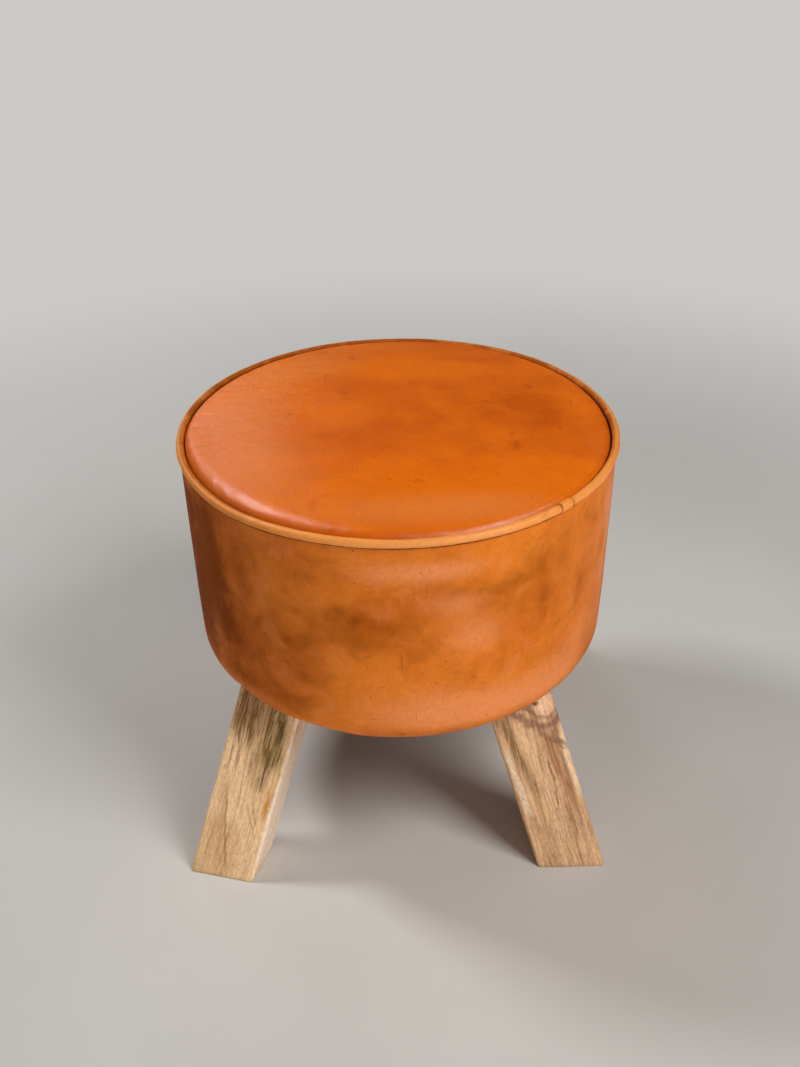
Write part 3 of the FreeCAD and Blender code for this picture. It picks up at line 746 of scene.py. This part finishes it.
def piping():
    """A leather strip round a cord, with a short strip over its join."""
    turns = np.linspace(0, FULL_TURN, 26, endpoint=False)
    angles = np.linspace(0, FULL_TURN, 900, endpoint=False)
    rows, columns = len(angles), len(turns)
    ring, degrees = turned(PIPE_R, 0, angles), np.degrees(angles)
    wave = 0.00028 * layered(ring, 30.0, 61) + 0.00010 * smooth_noise(ring, 150.0, 66)
    lift = 0.0003 * layered(ring, 9.0, 70)
    thick = PIPE_S + wave[:, None]
    points = turned(PIPE_R + thick * np.cos(turns) + lift[:, None] * 0.5,
                    PIPE_Z + thick * np.sin(turns) + (lift - around(degrees, RIM_DIP))[:, None], angles[:, None])
    faces = grid_faces(rows, columns, closed=True, looped=True, flip=True)
    obj = make_object("piping_cover", points, faces, leather_piping)
    # painted shade on the inner flank, which faces the pad: how strong round the rim, from how far round the section
    # it starts, and a tone for the whole strip, darker at the front left, partly painted shade there
    flank_shade = around(degrees, [(0, 1.2), (60, 1.2), (140, 1.5), (172, 1.25), (200, 0.95), (228, 0.75), (270, 0.2),
                            (320, 0.4), (345, 1.0)])
    begin = around(degrees, [(0, 78.0), (60, 62.0), (140, 46.0), (172, 46.0), (200, 52.0), (232, 68.0),
                             (262, 84.0), (320, 85.0)])
    tone = around(degrees, [(0, 0.0), (178, 0.0), (198, 0.06), (212, 0.30), (228, 0.32), (246, 0.05),
                            (262, -0.35), (290, -0.30), (312, 0.0)])
    section = np.degrees(turns)
    inward = section < 270
    flank = rise(section - begin[:, None], 45) * inward
    shade = flank**2 * (3 - 2 * flank) * flank_shade[:, None] + tone[:, None]
    # painted shade on the tube's underside and low on its inner flank, in the groove
    grime = np.maximum(rise(-PIPE_S * np.sin(turns) - 0.0030, 0.0012),
                       0.8 * rise(section - 140, 30) * inward)
    grime = np.tile(grime, rows)
    angle = np.degrees(np.arctan2(points[:, 1], points[:, 0]))
    inner = np.hypot(points[:, 0], points[:, 1]) < PIPE_R - 0.0010
    # dark lines at the two cuts of the join and just inside them, painted shade in the gaps
    for edge, width in ((JOIN_FROM, 0.0010), (JOIN_TO, 0.0015)):
        away = np.radians(angle - edge) * RIM_R
        grime = np.max([grime, 0.95 * bell(away, width), inner * bell(away, 0.0017)], axis=0)
    rosy = around(angle, [(0, 0.0), (240, 0.0), (262, 0.55), (285, 0.45), (305, 0.0)])
    set_attributes(obj, shade=shade.ravel(), grime=grime, rosy=rosy)
    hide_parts("piping_strip", "piping_cord")
    # the strip over the join, with thin rounded ends and a slanting cut
    length = math.radians(JOIN_TO - JOIN_FROM) * PIPE_R
    steps = np.array([0.0, 0.0006, 0.0014, 0.003])
    along = np.concatenate([steps, np.linspace(0.004, length - 0.004, 12), length - steps[::-1]])[:, None]
    from_end = np.minimum(along, length - along)
    thick = PIPE_S + 0.0004 * np.minimum(1, from_end / 0.0012) ** 0.5 + 0.00025
    place = math.radians(JOIN_FROM) + (along + 0.0012 * np.sin(turns - 0.6)) / PIPE_R
    points = turned(PIPE_R + thick * np.cos(turns), PIPE_Z + thick * np.sin(turns), place)
    faces = [face[::-1] for face in tube_faces(len(along), columns)]
    wrap = make_object("piping_wrap", points, faces, leather_piping)
    set_attributes(wrap, grime=np.repeat(0.95 * rise(0.0009 - from_end, 0.0009), columns))
    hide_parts("piping_join_wrap")


piping()


def stitches(name, places, directions, length, thick):
    """One mesh of small tapered stitches at places, each along its direction."""
    points, faces, sides = [], [], 6
    stations = ((-0.5, 0.25), (-0.38, 0.85), (0.0, 1.0), (0.38, 0.85), (0.5, 0.25))
    for place, direction in zip(places, directions):
        d = Vector(direction).normalized()
        a = d.orthogonal().normalized()
        b = d.cross(a)
        faces += tube_faces(len(stations), sides, first=len(points))
        for share, size in stations:
            centre = Vector(place) + d * length * share
            for turn in np.linspace(0, FULL_TURN, sides, endpoint=False):
                points.append(centre + (a * math.cos(turn) + b * math.sin(turn)) * thick * size)
    make_object(name, points, faces, thread)


def seam_stitches():
    """Laid end to end in the seam under the piping, and down both upright seams."""
    radius, height, pitch = 0.2268, PIPE_Z - PIPE_S - 0.0004, 0.0042
    count = int(FULL_TURN * radius / pitch)
    places, directions = [], []
    for k in range(count):
        a = FULL_TURN * k / count
        jitter = 0.00025 * math.sin(k * 12.9898) * math.cos(k * 4.1414)
        dip = float(around(math.degrees(a), RIM_DIP))
        places.append((radius * math.cos(a), radius * math.sin(a), height + jitter - dip))
        directions.append((-math.sin(a), math.cos(a), 0.10 + 0.15 * math.sin(k * 3.7)))
    stitches("rim_seam_stitches", places, directions, 0.0035, 0.00048)
    heights = 0.4255 - 0.0046 * np.arange(46)
    radii = np.interp(heights, [0.221, 0.275, 0.340, 0.400, 0.4285], [SIDE_LOW_R, 0.2250, 0.2260, 0.2266, SIDE_TOP_R])
    radii -= 0.85 * seam_depth(radii, heights)
    places, directions = [], []
    for a in (math.radians(SIDE_SEAM), math.radians(SIDE_SEAM + 180)):
        places += [(r * math.cos(a), r * math.sin(a), z) for r, z in zip(radii, heights)]
        directions += [(-math.sin(a) * 0.5, math.cos(a) * 0.5, 1)] * len(heights)
    stitches("side_seam_stitches", places, directions, 0.0030, 0.00035)


seam_stitches()


def leg_mesh(name, place, material):
    """A leaning bar with rounded edges, cut level at the floor and at the base board."""
    round_r, steps = 0.0032, 4
    outline = []
    for cx, cy, start in ((1, 1, 0), (-1, 1, 90), (-1, -1, 180), (1, -1, 270)):
        t = np.radians(start + 90 * np.arange(steps + 1) / steps)
        outline += zip(cx * (LEG_W / 2 - round_r) + round_r * np.cos(t),
                       cy * (LEG_T / 2 - round_r) + round_r * np.sin(t))
    dense = np.vstack([np.linspace(p, q, max(1, int(math.dist(p, q) / 0.0045)), endpoint=False)
                       for p, q in zip(outline, outline[1:] + outline[:1])])
    columns = len(dense)
    foot_z = [0.0, 0.0004, 0.0009, 0.0015, 0.0025]
    heights = np.concatenate([foot_z, np.arange(0.006, LEG_TOP_Z, 0.0036), [LEG_TOP_Z]])
    rows = len(heights)
    inset = np.interp(heights, foot_z, [0.0013, 0.0008, 0.0004, 0.0001, 0.0])
    half = (LEG_W / 2, LEG_T / 2)
    flat = dense * (1 - inset[:, None, None] / half)
    heights = np.repeat(heights, columns)
    local = place.local(place.world(np.pad(flat.reshape(-1, 2), ((0, 0), (0, 1))), heights))
    # planed faces are not dead flat, and the edges are worn unevenly
    sides = np.abs(local[:, :2])
    corner = np.hypot(*np.maximum(sides - half + 0.006, 0).T) / 0.0085
    seed = int(abs(place.head[0] * 1000)) + int(place.head[1] > 0) * 7
    worn = 0.004 * rise(layered(local + seed, 40.0, seed), 1) * rise(corner - 0.75, 1)
    uneven = 0.00022 * layered(local + seed, 22.0, seed + 3)
    local[:, :2] += np.sign(local[:, :2]) * (sides - half > -0.004) * (uneven - worn)[:, None]
    world = place.world(local, heights)
    foot = len(world)
    world = np.vstack([world, world[:columns].mean(0), world[-columns:].mean(0)])
    faces = grid_faces(rows, columns, closed=True) + fan_faces(foot, 0, columns, flip=True)
    faces += fan_faces(foot + 1, foot - columns, columns)
    obj = make_object(name, world, faces, material)
    local, height = place.local(world), world[:, 2]
    stain = rise(height - 0.10, 0.09) * (0.6 + 0.4 * layered(local, 30.0, seed + 8))
    splashed = 0.35 * rise(layered(local, 60.0, seed + 12), 1) * rise(0.03 - height, 0.03)
    # the bottom 4 mm darker towards the floor, and dirt splashed up the lowest 3 cm
    darkening = np.maximum(0.8 * rise(0.004 - height, 0.004), splashed)
    set_attributes(obj, grain=local, stain=stain, grime=darkening)
    return obj


# Wood tones: pale, warm, brown, dim
TAN = ((0.92, 0.61, 0.34), (0.84, 0.51, 0.25), (0.58, 0.29, 0.10), (0.26, 0.108, 0.026))
ROSY_TAN = ((0.70, 0.420, 0.225), (0.55, 0.29, 0.130), (0.30, 0.128, 0.045), (0.22, 0.110, 0.036))
UMBER, OLIVE, RUST, CREAM = (0.120, 0.038, 0.006), (0.14, 0.068, 0.009), (0.36, 0.125, 0.046), (0.90, 0.64, 0.39)
LIT_BLUSH, HONEY, PLUM = (0.93, 0.74, 0.58), (0.66, 0.25, 0.035), (0.26, 0.120, 0.068)
leg_materials = {
    "front_left": wood_material(
        "wood_front_left", (3.1, 0.7, 0.2), (0.030, 0.045), (0.10, 0.22), TAN, 0.15, calm=0.58,
        bands=[(24, 18, 30, 0, -78, 0.92, (0.26, 0.112, 0.032), 0.70),
               (-10, -16, 25, 0, -108, 0.85, (0.32, 0.18, 0.042), 0.70),
               (12, 14, 36, -185, -300, 0.60, (0.60, 0.33, 0.145), 0.8),
               (29, 24, 8, -20, -90, 0.85, (0.17, 0.072, 0.016), 0.15),
               (14, 10, 9, -20, -94, 0.85, (0.17, 0.072, 0.016), 0.15), (22, 17, 4, -40, -120, 0.6, UMBER, 0.05),
               (5, 0, 5, -40, -128, 0.55, (0.22, 0.095, 0.025), 0.15), (-6, -12, 9, -40, -98, 0.75, OLIVE, 0.15),
               (-16, -26, 7, -40, -104, 0.95, OLIVE, 0.3),
               (-18, -16, 9, -94, -134, 1.0, (0.12, 0.058, 0.010), 0.35),
               (-4, -8, 8, -95, -140, 0.5, (0.36, 0.22, 0.070), 0.3),
               (-29, -30, 7, -104, -128, 0.6, (0.42, 0.24, 0.045), 0.4),
               (-27.5, -29, 6, -134, -164, 0.95, HONEY, 0.6),
               (-6, -21, 1.8, -156, -192, 0.55, (0.36, 0.20, 0.065), 0.6),
               (-12, -25, 1.6, -156, -186, 0.50, (0.36, 0.20, 0.065), 0.6),
               # the last band here paints one long side face lighter, as light from the right falls on it: painted
               # light
               (4, -17, 4.5, -166, -216, 0.75, CREAM, 0.7), (-36.5, -36.5, 5.5, 20, -260, 0.9, LIT_BLUSH, 0.9),
               (21, -1, 2, -150, -240, 0.75, (0.34, 0.155, 0.050), 0.6),
               (23, 8, 5, -150, -235, 0.5, (0.52, 0.27, 0.105), 0.3),
               (28, 22, 3, -130, -235, 0.35, (0.48, 0.25, 0.10), 0.2)]),
    "front_right": wood_material(
        "wood_front_right", (7.4, 2.2, 1.7), (-0.020, 0.060), (-0.06, 0.10), ROSY_TAN, 0.3, calm=0.45,
        bands=[(26, 13, 8, -55, -150, 0.9, (0.21, 0.115, 0.032), 0.4),
               (13, 16, 4, -120, -240, 0.6, (0.26, 0.13, 0.042), 0.2), (-14, -21, 9, -92, -178, 0.8, RUST, 0.5),
               (-15, -14, 10, -165, -215, 0.45, (0.42, 0.17, 0.065), 0.3),
               (-31, -32, 6, -98, -168, 0.85, CREAM, 0.6), (4, -1, 7, -85, -200, 0.55, (0.86, 0.58, 0.33), 0.35),
               (-12, -1, 1.8, -105, -190, 0.8, (0.16, 0.080, 0.038), 0.3),
               (24, 22, 4, -175, -250, 0.6, (0.22, 0.120, 0.040), 0.2),
               (-12, -12, 3, -180, -245, 0.65, (0.22, 0.11, 0.045), 0.2),
               (29, 26, 5, -100, -170, 0.8, (0.86, 0.68, 0.48), 0.5),
               (-25, -24, 2.5, -175, -245, 0.6, (0.26, 0.13, 0.05), 0.3),
               (4, 4, 6, -190, -245, 0.5, (0.76, 0.50, 0.28), 0.4),
               (12, 10, 8, -70, -100, 0.6, (0.84, 0.54, 0.27), 0.5),
               (-22, -20, 15, -30, -68, 0.9, (0.90, 0.57, 0.36), 0.8)],
        arcs=[(-22, -50, 21, 22, 3.5, 0.75, PLUM), (-18, -44, 31, 36, 4.8, 0.9, PLUM),
              (-42, -70, 36, 37, 4, 0.8, PLUM), (-40, -96, 18, 18, 4, 0.7, PLUM), (-38, -96, 9, 10, 3, 0.7, CREAM),
              (-13.9, -54.7, 1.6, 0.8, 2, 0.95, (0.03, 0.015, 0.01))]),
    "back_left": wood_material(
        "wood_back_left", (12.3, 5.2, 2.6), (0.050, 0.020), (0.16, 0.05), TAN, 0.45,
        bands=[(18, 12, 8, -50, -150, 0.6, OLIVE, 0.1), (-15, -20, 5, -70, -230, 0.55, (0.36, 0.19, 0.08), 0.3)]),
    "back_right": wood_material(
        "wood_back_right", (17.9, 8.8, 4.1), (-0.040, 0.050), (-0.12, 0.16), ROSY_TAN, 0.5,
        knots=((0.010, 0.026, -0.120, 0.007),),
        bands=[(-10, -6, 9, -50, -140, 0.6, OLIVE, 0.1), (20, 24, 6, -60, -220, 0.5, RUST, 0.4)]),
}
for leg_name, leg_place in leg_places.items():
    leg = leg_mesh("leg_bar_" + leg_name, leg_place, leg_materials[leg_name])
    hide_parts("leg_" + leg_name)


def cloth_material():
    t = Tree("dust_cloth")
    p = t.position()
    fuzz = t.noise(p, 1500.0, 3)
    colour = t.mix(fuzz, (0.012, 0.012, 0.013), (0.034, 0.033, 0.033))
    return t.finish(colour, 0.92, t.bump(t.plus(t.voronoi(p, 900.0), fuzz), 0.5, 0.0004))


def dust_cloth():
    """Cloth stretched over the hem's opening, thin, with two faces."""
    radii = np.concatenate([np.linspace(0.004, CLOTH_R - 0.003, 44), [CLOTH_R - 0.0015, CLOTH_R]])
    angles = np.linspace(0, FULL_TURN, 240, endpoint=False)
    rows, columns = len(radii), len(angles)
    r = np.repeat(radii, columns)
    layers = []
    for z, ceiling in ((0.17745, 0.1776), (0.17795, 0.1779)):
        layer = turned(radii[:, None], z, angles)
        sag = -0.0005 * (1 - (r / CLOTH_R) ** 2)
        wave = 0.00035 * layered(layer, 24.0, 71) * np.minimum(1, (CLOTH_R - r) / 0.02)
        layer[:, 2] = np.clip(layer[:, 2] + sag * (r < HEM_R) + wave * (r < 0.12), 0.1768, ceiling)
        layers += [(0.0, 0.0, z), layer]
    points = np.vstack(layers)
    count = len(points) // 2
    faces = dome_faces(rows, columns, flip=True) + dome_faces(rows, columns, first=count)
    faces += band_faces(len(points) - columns, count - columns, columns)
    obj = make_object("dust_cloth", points, faces, cloth_material())
    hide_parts("dust_cover")


dust_cloth()


def steel_material(name, base, rough):
    t = Tree(name)
    wear = t.noise(t.position(), 400.0, 4)
    return t.finish(t.mix(wear, base, darker(base, 0.7)), t.range(wear, 0.3, 0.7, rough - 0.08, rough + 0.1),
                    t.bump(wear, 0.2, 0.0002), Metallic=1.0)


def staples():
    """Wire crowns with both legs going in, round the cloth's edge."""
    points, faces = [], []
    wire, half_crown, sides, count = 0.00032, 0.00475, 6, 26
    ring, height = 0.121, 0.1773
    down = Vector((0, 0, -1))
    for k in range(count):
        a = FULL_TURN * (k + 0.3 * math.sin(k * 2.3)) / count
        turn = a + math.pi / 2 + 0.12 * math.sin(k * 5.1)
        place = Vector((ring * math.cos(a), ring * math.sin(a), height))
        along, side = Vector((math.cos(turn), math.sin(turn), 0)), Vector((-math.sin(turn), math.cos(turn), 0))
        first = len(points)
        faces += grid_faces(4, sides, closed=True, first=first)
        faces += [list(range(start, start + sides)) for start in (first, first + 3 * sides)]
        for reach, drop, other in ((-half_crown, -0.0012, along), (0.0002 - half_crown, 0.0001, down),
                                   (half_crown - 0.0002, 0.0001, down), (half_crown, -0.0012, along)):
            for t in np.linspace(0, FULL_TURN, sides, endpoint=False):
                points.append(place + along * reach + down * drop + side * math.cos(t) * wire * 1.6
                              + other * math.sin(t) * wire)
    make_object("dust_cloth_staples", points, faces, steel_material("staple_steel", (0.62, 0.61, 0.60), 0.34))


staples()


def board_material(name, pale, dark, stretch):
    t = Tree(name)
    p = t.position()
    grain = t.noise(t.mapped(p, stretch), 1.0, 5, 0.6, 0.5)
    plies = t.noise(t.mapped(p, (1.0, 1.0, 420.0)), 1.0, 1)
    colour = t.mix(t.range(grain, 0.35, 0.65), pale, dark)
    colour = t.mix(t.times(t.range(plies, 0.5, 0.6), 0.25), colour, dark)
    return t.finish(colour, 0.7, t.bump(grain, 0.3, 0.0006))


# Inside pieces keep their solids and get their own materials
inside = [
    (("base_board", "top_board", "closing_board", "side_hoop"),
     board_material("plywood_birch", (0.66, 0.50, 0.31), (0.50, 0.35, 0.19), (60.0, 6.0, 60.0))),
    (("post_", "leg_block_", "cross_rail"),
     board_material("batten_pine", (0.64, 0.46, 0.26), (0.48, 0.31, 0.15), (50.0, 50.0, 5.0))),
    (("leg_bolts",), steel_material("bolt_zinc", (0.66, 0.65, 0.62), 0.36)),
    (("seat_foam", "side_foam", "edge_roll"), foam),
]
for node_name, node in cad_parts.items():
    for starts, material in inside:
        if node_name.startswith(starts):
            node.data.materials.clear()
            node.data.materials.append(material)

BACKDROP = (0.60, 0.585, 0.56)


def stage_and_lights():
    """Floor, backdrop and lights."""
    t = Tree("studio_floor")
    p = t.position()
    colour = t.mix(t.range(t.noise(p, 2.2, 4), 0.3, 0.7), (0.60, 0.585, 0.555), (0.64, 0.625, 0.595))
    t.finish(colour, 0.85, t.bump(t.noise(p, 60.0, 5), 0.06, 0.002), Specular_IOR_Level=0.1)
    # far off, the floor runs out into an even pale backdrop
    seen = t.add("LightPath", {}).outputs["Is Camera Ray"]
    far = t.add("VectorMath", {0: p}, operation="LENGTH").outputs["Value"]
    glow = t.add("Emission", {"Color": BACKDROP}).outputs[0]
    blend = t.add("MixShader", {0: t.times(t.range(far, 0.62, 1.75), seen), 1: t.shader.outputs[0], 2: glow})
    # from below, the camera looks through the floor at the stool's underside
    under = t.times(t.add("NewGeometry", {}).outputs["Backfacing"], seen)
    clear = t.add("BsdfTransparent", {}).outputs[0]
    through = t.add("MixShader", {0: under, 1: blend.outputs[0], 2: clear})
    output = next(n for n in t.nodes if n.type == "OUTPUT_MATERIAL")
    t.put(output.inputs["Surface"], through.outputs[0])
    mesh = bpy.data.meshes.new("studio_floor")
    size, lift = 12.0, 0.0003  # just above the soles, so that the two never share a plane
    mesh.from_pydata([(-size, -size, lift), (size, -size, lift), (size, size, lift), (-size, size, lift)], [],
                     [(0, 1, 2, 3)])
    floor = bpy.data.objects.new("studio_floor", mesh)
    bpy.context.scene.collection.objects.link(floor)
    mesh.materials.append(t.material)
    for name, place, aim, size, power, tint in (
            ("key_right", (1.25, -0.98, 2.05), (0, 0, 0.25), (1.0, 1.0), 36.0, (1.0, 0.985, 0.96)),
            ("roll_light", (-1.05, 0.42, 1.72), (0, 0, 0.42), (0.32, 0.32), 16.5, (0.99, 0.995, 1.0)),
            ("window_back_left", (-1.10, 1.85, 1.40), (-0.1, 0, 0.4), (0.9, 0.9), 6.0, (1, 1, 1)),
            ("front_fill", (0.80, -2.0, 0.23), (0, 0, 0.25), (2.0, 0.38), 14.0, (1, 1, 1)),
            ("front_left_low", (-1.0, -1.9, 0.22), (-0.12, -0.1, 0.10), (1.0, 0.36), 4.4, (1, 1, 1))):
        light = bpy.data.lights.new(name, "AREA")
        light.shape = "RECTANGLE"
        light.size, light.size_y = size
        light.energy, light.color = power, tint
        obj = bpy.data.objects.new(name, light)
        obj.location = place
        obj.rotation_euler = (Vector(aim) - Vector(place)).to_track_quat("-Z", "Y").to_euler()
        bpy.context.scene.collection.objects.link(obj)
    # a faint even light, and for the camera the same pale backdrop above the floor's far edge
    world = bpy.data.worlds.new("studio")
    bpy.context.scene.world = world
    world.use_nodes = True
    nodes, links = world.node_tree.nodes, world.node_tree.links
    back = next(n for n in nodes if n.type == "BACKGROUND")
    back.inputs["Color"].default_value = (0.95, 0.97, 1.0, 1)
    back.inputs["Strength"].default_value = 0.055
    shown = nodes.new("ShaderNodeBackground")
    shown.inputs["Color"].default_value = (*BACKDROP, 1)
    choice = nodes.new("ShaderNodeMixShader")
    links.new(nodes.new("ShaderNodeLightPath").outputs["Is Camera Ray"], choice.inputs[0])
    links.new(back.outputs[0], choice.inputs[1])
    links.new(shown.outputs[0], choice.inputs[2])
    links.new(choice.outputs[0], next(n for n in nodes if n.type == "OUTPUT_WORLD").inputs["Surface"])
    bpy.context.scene.view_settings.view_transform = "Standard"


stage_and_lights()
